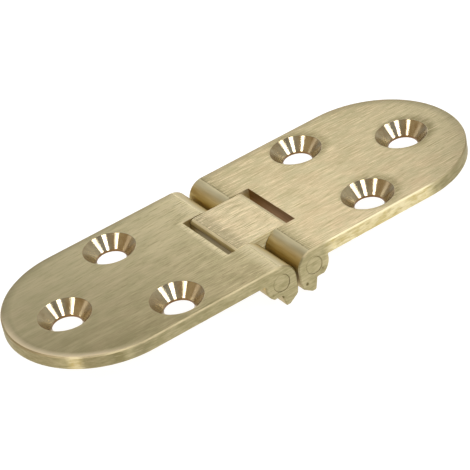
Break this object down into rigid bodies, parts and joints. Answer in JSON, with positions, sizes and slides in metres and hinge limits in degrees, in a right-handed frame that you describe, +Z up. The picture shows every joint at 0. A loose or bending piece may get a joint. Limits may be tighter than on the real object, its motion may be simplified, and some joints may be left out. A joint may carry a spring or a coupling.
{
  "type": "flap hinge",
  "caption": "Flush flap hinge in brushed brass: round-ended leaves with countersunk screw holes, joined by a middle link on pins so that the leaves fold face to face.",
  "frame": {"origin": "middle of the hinge between the two pins, on the surface that the noses under the knuckles stand on", "axes": "+X along the open hinge towards the right leaf, +Y along the pins, +Z up out of the flush face"},
  "size_m": [0.082, 0.03, 0.0072],
  "materials": {
    "leaf_brass": "brushed satin, unlacquered",
    "link_brass": "brushed satin, unlacquered",
    "pin_brass": "drawn rod, ends ground flush"
  },
  "bodies": {
    "left_leaf": {"left_leaf": "leaf_brass", "left_pin": "pin_brass"},
    "link": {"link": "link_brass"},
    "right_leaf": {"right_leaf": "leaf_brass", "right_pin": "pin_brass"}
  },
  "joints": [
    {"name": "left_pivot", "type": "hinge", "parent": "left_leaf", "child": "link", "pos_m": [-0.00305, 0, 0.0044], "axis": [0, -1, 0], "range_deg": [0, 90]},
    {"name": "right_pivot", "type": "hinge", "parent": "link", "child": "right_leaf", "pos_m": [0.00305, 0, 0.0044], "axis": [0, -1, 0], "range_deg": [0, 90]}
  ]
}
